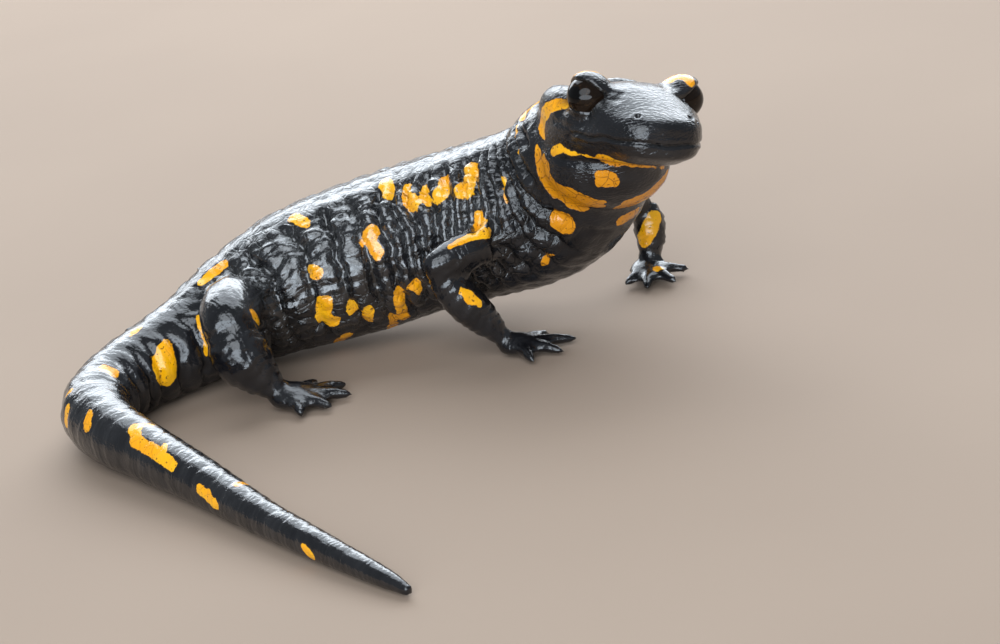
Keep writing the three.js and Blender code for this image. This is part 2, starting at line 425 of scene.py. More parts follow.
points = points_of(hide)
station, angle, share, reach = along_body(points)
local = in_head(points)
on_head = head_part(local)
wavering = station + 0.7 * waver(points, 9.0, 3) + 0.25 * waver(points, 3.0, 4)
ring = np.interp(wavering, GROOVES, np.arange(len(GROOVES)))
row = angle / ROW_ANGLE + 0.35 * waver(points, 6.0, 5)
groove_gap = np.interp(station, GROOVES[:-1], np.diff(GROOVES))
from_groove = np.abs(ring - np.round(ring)) * groove_gap
shifted_row = row + 0.5 * np.sin(2.4 * np.floor(ring))
row_gap = np.radians(ROW_ANGLE) * np.maximum(reach, 1.0)
from_row = np.abs(shifted_row - np.round(shifted_row)) * row_gap
close_to_head = lengths(local - [0, 8, -2]) < 17
on_limb = ramp(1.1, 1.28, share) * (1 - ramp(-6.0, -3.0, local[:, 1]) * close_to_head)
on_trunk = (1 - on_limb) * (1 - on_head)
print("grooves:", len(GROOVES))
print("points on limbs:", int((on_limb > 0.5).sum()), "and on the head:", int((on_head > 0.5).sum()))

# %% Press in the grooves and rows
# Depths and widths are in mm. A groove is deepest on the flank and in a notch above it.
FLANK_DEPTH, NOTCH_DEPTH, BACK_DEPTH, GROOVE_WIDTH = 0.56, 0.3, 0.1, 0.52
ROW_DEPTH, ROW_WIDTH = 0.22, 0.4
TAIL_DEPTH, TAIL_BEND_DEPTH = 0.08, 0.6
RIB_HEIGHT, LUMP_HEIGHT = 0.26, 0.12

side = np.abs(angle)
flank = ramp(14, 36, side) * (1 - ramp(112, 150, side))
along = ramp(96, 108, station) * (1 - ramp(158, 172, station))
# The neck is folded only on the side it turns to, and the tail most inside its bend.
turned_in = ramp(-20, 60, angle) * ramp(140, 156, station)
neck_hold = 1 - 0.75 * ramp(146, 158, station) * (1 - turned_in)
uneven = 1 + 0.35 * waver(points, 7.0, 7)
notch = ridge(side - 37, 9) * ramp(104, 110, station) * (1 - ramp(142, 150, station))
shoulder_folds = 1.25 + 0.2 * ramp(124, 132, station)
groove_depth = along * neck_hold * uneven * shoulder_folds
groove_depth *= FLANK_DEPTH * flank + BACK_DEPTH + NOTCH_DEPTH * notch
row_depth = along * neck_hold * uneven * ROW_DEPTH * flank
tail_bend_in = ramp(70, 80, station) * (1 - ramp(93, 101, station)) * ramp(15, 60, angle)
tail_bend_in *= 1 - ramp(130, 165, angle)
tail_depth = (1 - ramp(92, 104, station)) * ramp(6, 30, station) * TAIL_DEPTH
tail_depth += TAIL_BEND_DEPTH * tail_bend_in
sunk = (groove_depth + tail_depth) * ridge(from_groove, GROOVE_WIDTH)
sunk += row_depth * ridge(from_row, ROW_WIDTH)
ribs = RIB_HEIGHT * along * neck_hold * flank * (np.sin(np.pi * (ring % 1.0)) - 0.6)
lumps = LUMP_HEIGHT * waver(points, 2.6, 6) * ramp(60, 104, station) * (0.45 + 0.55 * flank)
push_out(hide, (lumps + ribs - sunk) * on_trunk)
print("deepest fold in mm:", round(float((sunk * on_trunk).max()), 2))

# %% [markdown]
# ## Small pillows between the folds
# The skin between the grooves is broken into little leathery pillows of one to two
# millimetres. A Displace modifier with a Voronoi texture could raise them, but it would run
# through the limbs in slices. Here pillow middles are scattered over the hide itself. A point
# near one middle only is raised, and a point just as near to a second one lies in a crack.

# %% Scatter the pillow middles
PILLOW_GAP = 1.45
TRIES = 14000


def scatter(points, gap, seed):
    # Picks points in a mixed order, each at least `gap` mm from all that were picked before.
    cells = {}
    picked = []
    steps = [(dx, dy, dz) for dx in (-1, 0, 1) for dy in (-1, 0, 1) for dz in (-1, 0, 1)]
    mixed = np.random.default_rng(seed).permutation(len(points))[:TRIES]
    for place in points[mixed].tolist():
        cell = [math.floor(value / gap) for value in place]
        near = (cells.get((cell[0] + dx, cell[1] + dy, cell[2] + dz), ()) for dx, dy, dz in steps)
        if all(math.dist(place, other) > gap for group in near for other in group):
            cells.setdefault(tuple(cell), []).append(place)
            picked.append(place)
    return picked


def search_tree(places):
    # Finds the places nearest to any point.
    tree = KDTree(len(places))
    for index, place in enumerate(places):
        tree.insert(place, index)
    tree.balance()
    return tree


points = points_of(hide)
pillow_middles = scatter(points[on_head < 0.5], PILLOW_GAP, 11)
pillow_tree = search_tree(pillow_middles)
print("pillows:", len(pillow_middles))

# %% Raise the pillows
PILLOW_HEIGHT = 0.22
between = np.zeros(len(points))
for index in np.flatnonzero(on_head < 1):
    (_, _, first), (_, _, second) = pillow_tree.find_n(points[index], 2)
    between[index] = second - first
neck_smooth = 1 - 0.65 * ramp(144, 152, station)
pillowed = (1 - on_head) * (1 - 0.8 * near_toes(points)) * neck_smooth
pillowed *= 0.18 + 0.82 * ramp(92, 104, station) * flank * (1 - on_limb)
rise = PILLOW_HEIGHT * (ramp(0.0, 0.8, between) - 0.65) * pillowed
push_out(hide, rise)
print("tallest pillow in mm:", round(float(rise.max() - rise.min()), 2))

# %% [markdown]
# ## The folded hind leg
# The right hind leg is folded, so the flesh of thigh and calf is pressed together and bulges.
# Points of the leg near the knee are moved outwards, most at the middle of the bulge.

# %% Fill out the folded leg
BULGE = 0.62
BULGE_MIDDLE = (-16.0, 16.0, 8.8)
BULGE_INSIDE, BULGE_OUTSIDE = 2.8, 6.2

from_bulge = lengths(points_of(hide) - as_packed(BULGE_MIDDLE))
push_out(hide, BULGE * (1 - ramp(BULGE_INSIDE, BULGE_OUTSIDE, from_bulge)) * on_limb)
print("points in the bulge:", int((from_bulge < BULGE_OUTSIDE).sum()))

# %% [markdown]
# ## Creases of the limbs
# Loose skin lies in rings round the elbows, knees and wrists. Each ring is a plane through
# the limb, and points close to a plane sink.

# %% Rings at the joints
LIMB_CREASES = [   # a joint and the next one (as first drawn), depth, spacing
    ((11.6, 18.4, 14.0), (14.6, 18.8, 8.8), 0.16, 1.5),
    ((14.6, 18.8, 8.8), (19.4, 19.2, 2.0), 0.15, 1.4),
    ((-16.9, 17.2, 11.6), (-15.6, 15.4, 7.2), 0.2, 1.7),
    ((-15.6, 15.4, 7.2), (-11.6, 14.1, 2.3), 0.16, 1.5),
    ((42.2, 41.6, 10.2), (42.2, 40.8, 6.2), 0.2, 1.5),
    ((42.2, 40.8, 6.2), (41.2, 39.6, 1.9), 0.16, 1.4),
]
CREASE_WIDTH = 0.34

points = points_of(hide)
normals = normals_of(hide)
for first, second, depth, spacing in LIMB_CREASES:
    first, second = as_packed(first), as_packed(second)
    length = np.linalg.norm(second - first)
    ahead = (second - first) / length
    run = (points - first) @ ahead
    away = lengths(points - first - run[:, None] * ahead)
    here = ramp(-1.8, 0.2, run) * (1 - ramp(length - 0.6, length + 0.4, run))
    here *= 1 - ramp(4.6, 5.6, away)
    here *= on_limb
    count = run / spacing + 0.45 * waver(points, 4.0, 21)
    crease = ridge((count - np.round(count)) * spacing, CREASE_WIDTH)
    points -= normals * (depth * crease * here)[:, None]
put_points(hide, points)
print("creased limb joints:", len(LIMB_CREASES))

# %% [markdown]
# ## Sculpting the head
# The head gets most of the care. The eye of a salamander stands out like a bead under a thick
# upper lid, with a thin lower lid under it, and the opening is given as a closed line of
# angles round the eyeball. Hide points inside that line sink behind the eyeball, points
# outside it are lifted into the lid, and the edge between them is rounded. A boolean cut
# would leave a hard, ragged edge here, so the points are moved instead.

# %% The line of the eyelids
LID_LINE = [   # round the eye from straight out to the front, and up, in degrees
    # the upper lid, from back to front
    (-62, 2), (-54, 24), (-36, 40), (-12, 47), (12, 47), (34, 46), (54, 44), (70, 38),
    (84, 28), (98, 17), (110, 6),
    # the lower lid, from front to back
    (118, -6), (114, -18), (100, -31), (82, -40), (58, -43), (34, -41), (12, -38),
    (-12, -36), (-34, -32), (-52, -20),
]
OPENING_MIDDLE = (28, 1)
EYEBALL = 2.82
UPPER_LID, LOWER_LID = 3.34, 3.12
LID_ROUNDING = 0.16
LID_WRINKLE = 0.07
SOCKET_FLOOR = EYEBALL - 0.42


def outward(angles):
    round_eye, rise = np.radians(np.asarray(angles, dtype=float)).T
    level = np.cos(rise)
    return np.stack([level * np.cos(round_eye), level * np.sin(round_eye), np.sin(rise)], axis=1)


lid_edge = outward(flowing(np.array([*LID_LINE, LID_LINE[0]], dtype=float), per_span=10))
opening_middle = outward([OPENING_MIDDLE])[0]
opening_across = np.cross([0, 0, 1], opening_middle)
opening_across /= np.linalg.norm(opening_across)
opening_over = np.cross(opening_middle, opening_across)


def turn_and_tilt(ways):
    # Each direction as a turn round the middle of the opening, and how far it tilts away.
    tilt = np.degrees(np.arccos(np.clip(ways @ opening_middle, -1, 1)))
    return np.degrees(np.arctan2(ways @ opening_over, ways @ opening_across)), tilt


edge_turn, edge_tilt = turn_and_tilt(lid_edge)
edge_order = np.argsort(edge_turn)


def past_lid_edge(ways):
    # Distance in mm from the lid's edge, along the eyeball: below zero inside the opening.
    gap = np.arccos(np.clip(ways @ lid_edge.T, -1, 1)).min(axis=1) * 3.0
    turn, tilt = turn_and_tilt(ways)
    limit = np.interp(turn, edge_turn[edge_order], edge_tilt[edge_order], period=360)
    return np.where(tilt < limit, -gap, gap)


print("eye opening in mm:", round(math.radians(edge_tilt.min() + edge_tilt.max()) * EYEBALL, 1), "across")

# %% Shape the eyelids


def mirror_of(eye):
    # Everything is given for the right eye, and the left one is its mirror image.
    return np.array([math.copysign(1.0, eye[0]), 1.0, 1.0])


points = points_of(hide)
local = in_head(points)
in_socket = np.zeros(len(points))
lid_rim = np.zeros(len(points))
for name, eye in eyes.items():
    mirror = mirror_of(eye)
    near = np.flatnonzero(lengths(local - eye) < 5.4)
    offset = (local[near] - eye) * mirror
    far = lengths(offset)
    way = offset / far[:, None]
    past = past_lid_edge(way)
    upper = ramp(-12, 14, np.degrees(np.arcsin(way[:, 2])))
    # The lid stands this far from the eyeball's middle, and fades into the head further out.
    stand = LOWER_LID + (UPPER_LID - LOWER_LID) * upper
    rim = stand - LID_ROUNDING * ridge(past, 0.4)
    forward = np.degrees(np.arctan2(way[:, 1], np.abs(way[:, 2]) + 0.2))
    wrinkled = ramp(35, 60, forward) + 0.4 * (1 - upper)
    rim -= LID_WRINKLE * wrinkled * (ridge(past - 0.68, 0.14) + ridge(past - 1.15, 0.16))
    shape = SOCKET_FLOOR + (rim - SOCKET_FLOOR) * ramp(-0.2, 0.1, past) - 0.12 * ridge(past, 0.14)
    hold = 1 - ramp(0.9, 2.4 + 1.2 * upper, past)
    moved = far + (shape - far) * hold
    # Where the lid meets the head the head is already further out, so only the opening sinks.
    meets = (far > shape) & (past > 0.1)
    moved = np.where(meets, far + (shape - far) * hold * (1 - ramp(0.1, 1.1, past)), moved)
    local[near] = eye + way * moved[:, None] * mirror
    lid_rim[near] = np.maximum(lid_rim[near], ridge(past - 0.08, 0.22))
    in_socket[near] = np.maximum(in_socket[near], 1 - ramp(-0.3, -0.05, past))
put_points(hide, local @ head_axes.T + HEAD_JOINT)
print("hide points in the eye openings:", int((in_socket > 0.5).sum()))

# %% [markdown]
# ## Snout, mouth, glands and throat
# The snout is blunt and swollen above the lip, the mouth is a fine wavering line from cheek
# to cheek, and the nostrils are pin pricks. A roll of skin runs under the eye, a gland bulges
# behind it, and the throat hangs from the edge of the jaw. All of these are small presses and
# swellings along the hide's own normals, each given by a place, a width and a depth in mm.

# %% Distances on the head
local = in_head(points_of(hide))
face_x, face_y, face_z = np.abs(local[:, 0]), local[:, 1], local[:, 2]
both_sides = np.stack([face_x, face_y, face_z], axis=1)
on_head = head_part(local)


def from_route(route):
    # Distance in mm to a bent line through the given head places, the same on both sides.
    gap = np.full(len(both_sides), 99.0)
    for first, second in zip(route[:-1], route[1:]):
        first, way = np.array(first), np.array(second) - np.array(first)
        share = np.clip((both_sides - first) @ way / np.sum(way**2), 0, 1)
        gap = np.minimum(gap, lengths(both_sides - first - share[:, None] * way))
    return gap


# %% Press and swell
MOUTH_LEVEL = -2.05
MOUTH_CORNER = 9.3
NOSTRIL = (3.68, 18.16, 1.08)
NOSTRIL_PIT = (4.5, 18.26, 0.46)
UNDER_EYE = [(9.44, 5.2, 0.4), (9.13, 7.12, 0.06), (8.46, 9.45, -0.09), (7.69, 10.85, 0.06)]
EYE_CREASE = [(5.91, 13.69, 2.56), (5.32, 13.89, 2.85), (4.8, 14.3, 2.9)]
LIP_CREASE = [(8.2, 10.6, -1.2), (7.2, 12.8, -0.95), (5.9, 15.0, -0.9)]
GLAND_FURROW = [(8.6, -0.6, 2.6), (9.6, -1.2, 0.6), (9.6, -1.4, -1.8), (9.3, -0.6, -4.0)]
MOUTH_DIMPLE = [(8.6, 8.9, -2.2), (8.7, 8.5, -2.7)]

front = ramp(15.0, 18.5, face_y)
waving = 0.16 * np.sin(face_y * 1.3 + 0.8) * (1 - front) - 0.28 * front * ridge(face_x, 1.8)
above_mouth = face_z - MOUTH_LEVEL - waving
mouth_open = on_head * ramp(MOUTH_CORNER - 0.9, MOUTH_CORNER + 1.0, face_y)
# In each line the first number is a depth, and the last one of a ridge its width.
# The mouth is a crack between two swollen lips, with a groove under the lower one.
press = 0.36 * ridge(above_mouth, 0.16) * mouth_open
press -= 0.15 * (1 - 0.5 * front) * ridge(above_mouth - 0.55, 0.42) * mouth_open
press -= 0.17 * ridge(above_mouth + 0.42, 0.26) * mouth_open
press += 0.12 * ridge(above_mouth + 1.05, 0.26) * mouth_open * (1 - front)
press += 0.16 * ridge(from_route(MOUTH_DIMPLE), 0.55) * on_head
# Snout and chin are blunt, and each nostril is a hole in a low rim with a pit beside it.
press -= 0.3 * front * ridge(face_z - 0.3, 1.2) * on_head
press -= 0.3 * front * ridge(face_z + 3.5, 0.9) * on_head
from_nostril = lengths(both_sides - NOSTRIL)
press += 0.55 * ridge(from_nostril, 0.25)
press -= 0.06 * ridge(from_nostril - 0.6, 0.24)
press += 0.12 * ridge(lengths(both_sides - NOSTRIL_PIT), 0.3)
# A roll and a crease run under the eye, and more creases before it and behind the gland.
press -= 0.17 * ridge(from_route(UNDER_EYE), 0.75) * on_head
press += 0.13 * ridge(from_route([(x, y, z - 1.15) for x, y, z in UNDER_EYE]), 0.35) * on_head
press += 0.2 * ridge(from_route(EYE_CREASE), 0.4)
press += 0.09 * ridge(from_route(LIP_CREASE), 0.3) * on_head
press += 0.3 * ridge(from_route(GLAND_FURROW), 0.65)
# The jaw's lower edge stands out a little, and the throat starts behind a shallow fold.
jaw_edge = -4.75 - 0.25 * ramp(12, 20, face_y)
press -= 0.18 * ridge(face_z - jaw_edge, 0.45) * on_head * ramp(4, 7, face_y)
press += 0.28 * ridge(face_z - (jaw_edge - 0.95), 0.4) * on_head * ramp(4, 7, face_y)
push_out(hide, -press)
mouth_crack = ridge(above_mouth, 0.11) * mouth_open
print("deepest press on the head in mm:", round(float(press.max()), 2))

# %% Keep inside the solids' box
# The belly, tail and toes lie flat on the floor, and nothing stands out of the measured size.
CLEAR_OF_BOX = 0.02
low, high = corners_mm(solid_box)
low, high = low + CLEAR_OF_BOX, high - CLEAR_OF_BOX
points = points_of(hide)
put_points(hide, np.clip(points, low, high))
print("points laid flat or held in:", int(((points < low) | (points > high)).any(1).sum()))

# %% [markdown]
# ## The eyeballs
# Each eye is a wet, almost black bead with a slightly raised clear window in front. It is a
# ball of its own with its pole turned to where the eye looks, and the points round the pole
# are drawn out a little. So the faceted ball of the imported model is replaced, and the
# highlight runs smoothly over it.

# %% Eyeballs
WINDOW_RISE = 0.16
WINDOW_WIDTH = 34   # degrees from the pole
LOOKING = outward([(24, 4)])[0]


def eyeball(name, node):
    middle = np.array(eye_middles[node]) / MM
    looking = Vector(head_axes @ (LOOKING * mirror_of(eyes[node])))
    bpy.ops.mesh.primitive_uv_sphere_add(
        segments=72, ring_count=48, radius=EYEBALL * MM, location=eye_middles[node],
        rotation=looking.to_track_quat("Z", "Y").to_euler(),
    )
    ball = bpy.context.object
    bpy.ops.object.transform_apply(location=True, rotation=True, scale=True)
    ball.name = name
    ball.data.name = name
    offset = points_of(ball) - middle
    away = np.degrees(np.arccos(np.clip(offset @ np.array(looking) / EYEBALL, -1, 1)))
    offset *= (1 + WINDOW_RISE / EYEBALL * ridge(away, WINDOW_WIDTH))[:, None]
    placed = offset + middle
    # A ball that stands out of the solids' box moves in.
    placed -= np.maximum(placed.max(0) - np.array(solid_box[1]) / MM, 0)
    put_points(ball, placed)
    bpy.ops.object.shade_smooth()
    from_pole = ball.data.attributes.new("from_pole", "FLOAT", "POINT")
    from_pole.data.foreach_set("value", away)
    return ball


eyeballs = {node: eyeball(node + "_ball", node) for node in EYES}
print("eyeballs:", [ball.name for ball in eyeballs.values()])

# %% [markdown]
# ## Where the yellow lies
# The spots of a fire salamander are its own, like a fingerprint. They are laid out here as
# strokes from one place on the skin to another, each with a width, as with a brush. Strokes
# on the body are given by station and angle, those on the head by head coordinates, and those
# on the limbs by places near the skin. Every hide point then keeps its distance in mm from
# the nearest stroke's edge. The material turns that number into a crisp, slightly ragged edge.

# %% Strokes
SPOTS_ON_BODY = [   # station, angle, radius, twice
    (144.8, 33, 1.1, 143.5, 51, 1.1),
    (143.2, 42, 0.85, 142.8, 50, 0.9),
    (140.1, 32, 0.88, 138.8, 49, 0.95),
    (136.4, 36, 0.95, 136.7, 47, 0.95),
    (133.4, 31, 1.1, 133.9, 48, 1.05),
    (129.8, 17, 0.96, 130.5, 30, 0.95),
    (116.1, 16, 0.82, 117.2, 28, 0.82),
    (126.5, 57, 1.08, 125.1, 61, 1.08),
    (125.5, 66, 0.88, 125.8, 73, 0.88),
    (116.0, 68, 0.95, 116.2, 71, 0.95),
    (115.9, 94, 1.09, 115.5, 100, 1.02),
    (115.4, 108, 1.23, 116.1, 112, 1.16),
    (119.9, 104, 0.82, 119.7, 107, 0.75),
    (121.9, 109, 0.71, 121.2, 122, 0.71),
    (126.7, 105, 0.75, 126.0, 134, 0.82),
    (124.4, 128, 0.69, 123.6, 155, 0.69),
    (130.0, 104, 0.88, 130.4, 113, 0.48),
    (117.3, 135, 0.76, 115.7, 156, 0.76),
    (145.4, 74, 0.94, 145.8, 79, 0.94),
    (152.8, 57, 0.53, 151.3, 68, 0.53),
    (104.2, 14, 0.96, 100.8, 8, 0.76),
    (95.6, 45, 0.34, 94.2, 87, 0.34),
    (89.8, 52, 0.81, 88.0, 71, 1.76),
    (88.0, 71, 1.76, 87.4, 88, 1.56),
    (88.4, 2, 0.55, 87.2, 4, 0.54),
    (78.2, 17, 0.87, 77.8, 30, 0.87),
    (74.3, -34, 0.4, 74.3, -45, 0.4),
    (71.9, -52, 0.53, 71.2, -79, 0.66),
    (66.9, -31, 0.37, 65.9, -51, 0.85),
    (57.6, 17, 0.58, 58.3, -8, 0.58),
    (58.3, -8, 0.84, 56.0, -36, 0.83),
    (56.0, -36, 0.83, 52.1, -37, 0.89),
    (52.1, -37, 0.83, 47.4, -44, 0.76),
    (51.4, -15, 0.46, 50.3, -26, 0.46),
    (35.5, 11, 0.68, 35.9, 40, 0.49),
    (18.1, -82, 0.59, 17.1, -98, 0.59),
    (164.4, 8, 0.85, 163.0, 22, 0.8),
    (161.7, 29, 0.29, 160.6, 42, 0.32),
    (160.0, 49, 0.33, 159.9, 52, 0.33),
]
SPOTS_ON_HEAD = [   # chains of right, forward, up, radius, from the neck joint
    # the band over the gland
    ((8.4, 6.6, 1.7, 0.5), (9.4, 5.2, 1.3, 0.75), (9.8, 3.4, 0.7, 0.85), (9.5, 1.5, -0.7, 0.85),
     (9.1, 0.8, -2.0, 0.75), (9.2, 1.5, -3.3, 0.35)),
    # the line along the jaw
    ((9.0, 4.7, -4.7, 0.58), (8.7, 6.3, -4.4, 0.52)),
    ((8.7, 6.3, -4.4, 0.5), (8.1, 7.8, -4.7, 0.18), (7.0, 9.6, -4.8, 0.08), (5.9, 11.6, -4.9, 0.12)),
    ((5.7, 12.0, -4.8, 0.55), (5.2, 13.1, -4.8, 0.92), (4.1, 14.4, -4.9, 0.55), (1.8, 16.5, -5.1, 0.25)),
    ((4.8, 11.2, -5.3, 0.35), (3.4, 11.8, -5.4, 0.5), (2.0, 12.1, -5.5, 0.28), (0.2, 12.2, -5.7, 0.14)),
    ((0.2, 12.2, -5.7, 0.16), (-1.8, 11.7, -5.8, 0.1), (-4.6, 9.7, -6.0, 0.08)),
    # down behind the jaw and along the fold of the throat
    ((9.3, 0.2, -4.6, 0.22), (9.3, 1.2, -6.0, 0.75)),
    ((9.5, 0.6, -5.6, 0.3), (9.5, 0.9, -7.0, 0.6), (9.0, 1.4, -8.4, 0.6), (8.3, 1.7, -9.6, 0.55),
     (7.3, 2.2, -10.9, 0.45)),
    ((9.4, 2.3, -5.9, 0.4), (9.3, 3.3, -6.6, 0.62), (9.0, 3.2, -7.8, 0.62), (8.1, 4.3, -9.2, 0.55)),
    ((9.3, 1.2, -6.0, 0.65), (9.2, 2.4, -7.2, 0.85), (8.7, 2.8, -8.8, 0.95), (7.8, 3.3, -10.0, 0.95)),
    ((8.0, 3.5, -9.5, 0.85), (7.0, 6.2, -9.8, 0.8), (4.9, 7.1, -10.7, 0.75)),
    ((4.9, 7.1, -10.7, 0.6), (3.2, 7.6, -11.1, 0.5)),
    ((7.6, 3.0, -10.3, 0.9), (6.2, 4.6, -11.0, 1.25), (4.4, 5.2, -11.6, 1.25), (2.9, 6.4, -11.6, 0.9)),
    ((6.9, 2.7, -10.8, 0.65), (5.2, 2.9, -11.8, 0.7), (3.4, 3.6, -12.3, 0.7)),
    # the square spot and the far side of the throat
    ((4.7, 10.3, -7.4, 0.71), (3.2, 10.9, -7.4, 0.71)),
    ((4.5, 10.2, -8.1, 0.71), (3.0, 10.7, -8.1, 0.72)),
    ((-5.9, 8.2, -6.9, 0.5), (-4.1, 8.8, -8.8, 0.8), (-1.8, 8.6, -10.4, 0.8), (0.1, 8.3, -11.0, 0.5)),
    ((-6.1, 6.6, -7.8, 0.9), (-4.3, 6.8, -9.8, 1.1), (-2.0, 6.4, -11.3, 1.1), (-0.2, 6.4, -11.9, 0.95)),
    ((-1.1, 7.5, -11.3, 0.8), (-0.1, 7.0, -11.7, 0.7)),
    # the chest
    ((-2.8, 1.8, -14.0, 0.8), (-5.2, 0.9, -13.4, 0.95)),
    ((5.6, 0.9, -14.0, 1.46), (4.9, 0.7, -14.9, 1.33)),
    ((5.2, -4.0, -20.4, 0.54), (4.8, -3.4, -19.9, 0.47)),
    # the lids
    ((9.2, 7.0, 4.4, 0.5), (8.3, 7.8, 5.6, 0.95), (7.2, 8.4, 6.1, 1.35), (5.8, 8.8, 6.1, 1.35),
     (4.5, 9.4, 5.4, 0.85)),
    ((8.6, 7.0, 2.1, 0.2), (8.6, 7.1, 2.0, 0.18)),
    ((-7.2, 7.6, 6.1, 0.8), (-5.6, 9.4, 6.1, 1.25)),
    ((-4.4, 9.6, 5.5, 0.8), (-5.6, 9.8, 6.0, 1.0), (-6.5, 10.6, 5.9, 0.95), (-6.7, 11.5, 5.2, 0.55)),
    # the far side of the face, much like the near one
    ((-8.6, 6.2, 1.6, 0.45), (-9.6, 4.6, 1.0, 0.75), (-9.8, 2.6, 0.0, 0.9), (-9.3, 0.8, -1.8, 0.8)),
    ((-9.3, 0.0, -4.4, 0.5), (-9.3, 1.4, -6.4, 0.8)),
    ((-9.0, 5.4, -4.6, 0.5), (-7.8, 8.2, -4.8, 0.4)),
]
SPOTS_ON_LIMBS = [   # chains of places as first drawn, with a radius
    ((-13.3, 17.2, 12.8, 0.7), (-13.0, 18.2, 10.9, 0.7)),
    ((14.1, 18.0, 17.0, 0.35), (17.7, 19.6, 17.5, 0.62), (19.9, 20.3, 17.2, 0.66)),
    ((14.8, 16.5, 10.9, 0.5), (15.6, 16.6, 9.9, 0.8), (16.9, 16.8, 8.6, 0.45)),
    ((42.9, 38.9, 8.3, 1.19), (40.7, 38.9, 5.5, 0.99)),
    ((41.9, 36.4, 2.0, 0.55), (42.3, 36.0, 1.9, 0.45)),
    ((33.0, 34.6, 17.0, 0.8), (38.5, 38.2, 14.6, 0.95)),
]
SPOTS_FAR_SIDE = [   # station, angle, radius, twice, on the side turned away
    (100.5, -38, 1.1, 99.0, -55, 1.3),
    (106.0, -86, 0.9, 107.5, -96, 1.1),
    (111.8, -48, 0.9, 112.6, -60, 1.0),
    (121.0, -70, 1.2, 122.8, -78, 0.9),
    (84.0, -62, 1.1, 82.0, -80, 1.4),
    (40.5, -60, 0.6, 37.0, -78, 0.7),
    (44.0, 96, 0.6, 41.0, 112, 0.6),
    (64.0, 84, 0.8, 61.5, 98, 0.9),
    (27.0, 60, 0.5, 25.0, 78, 0.5),
]
MIRRORED_FROM = 96.0


def mirrored(strokes):
    # The side turned away is much like the near one, shifted a little, as on a real animal.
    return [
        (s1 + 1.7, -(0.95 * a1 + 6), r1 * 1.08, s2 + 1.4, -(0.95 * a2 + 4), r2 * 0.94)
        for s1, a1, r1, s2, a2, r2 in strokes
        if s1 > MIRRORED_FROM and a1 > 25
    ]


print("strokes on the body:", len(SPOTS_ON_BODY) + len(SPOTS_FAR_SIDE))
print("chains of strokes on head and limbs:", len(SPOTS_ON_HEAD) + len(SPOTS_ON_LIMBS))

# %% Distance from the strokes
points = points_of(hide)
station, angle, share, reach = along_body(points)
skin_tree = search_tree(points)
body_places = np.flatnonzero((share < 1.3) & (on_head < 0.9))
spots = np.full(len(points), 9.0)


def on_skin(place):
    return points[skin_tree.find(place)[1]]


def on_body(at_station, at_angle):
    turned = (angle[body_places] - at_angle + 180) % 360 - 180
    miss = (station[body_places] - at_station) ** 2 + (np.radians(turned) * reach[body_places]) ** 2
    return points[body_places[miss.argmin()]]


def brush(first, second, first_width, second_width):
    # Every point keeps the shortest distance to any stroke's edge: below zero inside it.
    way = second - first
    run = np.clip((points - first) @ way / max(way @ way, 1e-6), 0, 1)
    gap = lengths(points - first - run[:, None] * way)
    np.minimum(spots, gap - first_width - run * (second_width - first_width), out=spots)


def brush_chain(places, widths):
    on_hide = [on_skin(place) for place in places]
    for stroke in zip(on_hide[:-1], on_hide[1:], widths[:-1], widths[1:]):
        brush(*stroke)


for s1, a1, r1, s2, a2, r2 in SPOTS_ON_BODY + mirrored(SPOTS_ON_BODY) + SPOTS_FAR_SIDE:
    # A long stroke goes round the body in steps of about 12 degrees.
    parts = max(1, round(abs(a2 - a1) / 12))
    for part in range(parts):
        low, high = part / parts, (part + 1) / parts
        brush(
            on_body(s1 + (s2 - s1) * low, a1 + (a2 - a1) * low),
            on_body(s1 + (s2 - s1) * high, a1 + (a2 - a1) * high),
            r1 + (r2 - r1) * low,
            r1 + (r2 - r1) * high,
        )
for chain in map(np.array, SPOTS_ON_HEAD):
    brush_chain(chain[:, :3] @ head_axes.T + HEAD_JOINT, chain[:, 3])
for chain in map(np.array, SPOTS_ON_LIMBS):
    brush_chain(as_packed(chain[:, :3]), chain[:, 3])
print("share of the hide's points under yellow:", round(float((spots < 0).mean()), 3))

# %% Keep the numbers that the material needs
# Painted shade: the mouth crack, the lid rims and the hide in the eye openings are painted darker.
deep = np.clip(1.3 * mouth_crack + lid_rim + in_socket, 0, 1)
low_on_body = np.maximum(ramp(100, 150, side), ramp(60, 95, side) * ramp(142, 152, station))
# On throat and belly the yellow turns a darker orange: partly its own colour, partly painted shade on the
# underside.
underneath = on_head * ramp(-4.2, -6.0, face_z) + (1 - on_head) * low_on_body * (1 - on_limb)
grooved = on_trunk * along * flank * neck_hold
leathery = on_trunk * along * neck_smooth * (0.35 + 0.65 * ramp(8, 40, side))
leathery *= 1 - 0.6 * ramp(110, 140, side)
kept_numbers = {
    "spots": spots,  # mm from the nearest spot's edge
    "ring": ring,  # counts the grooves
    "row": shifted_row,  # counts the pillows round the body
    "grooved": grooved,  # 1 where grooves are cut
    "leathery": leathery,  # 1 where the net of cracks is deep
    "deep": deep,  # 1 in the mouth line and under the lids
    "underneath": np.clip(underneath, 0, 1),  # 1 on throat and belly
    "face": on_head,  # 1 on the head
}
for name, values in kept_numbers.items():
    kept = hide.data.attributes.new(name, "FLOAT", "POINT")
    kept.data.foreach_set("value", values.astype(np.float32))
print("numbers kept on the hide:", list(kept_numbers))
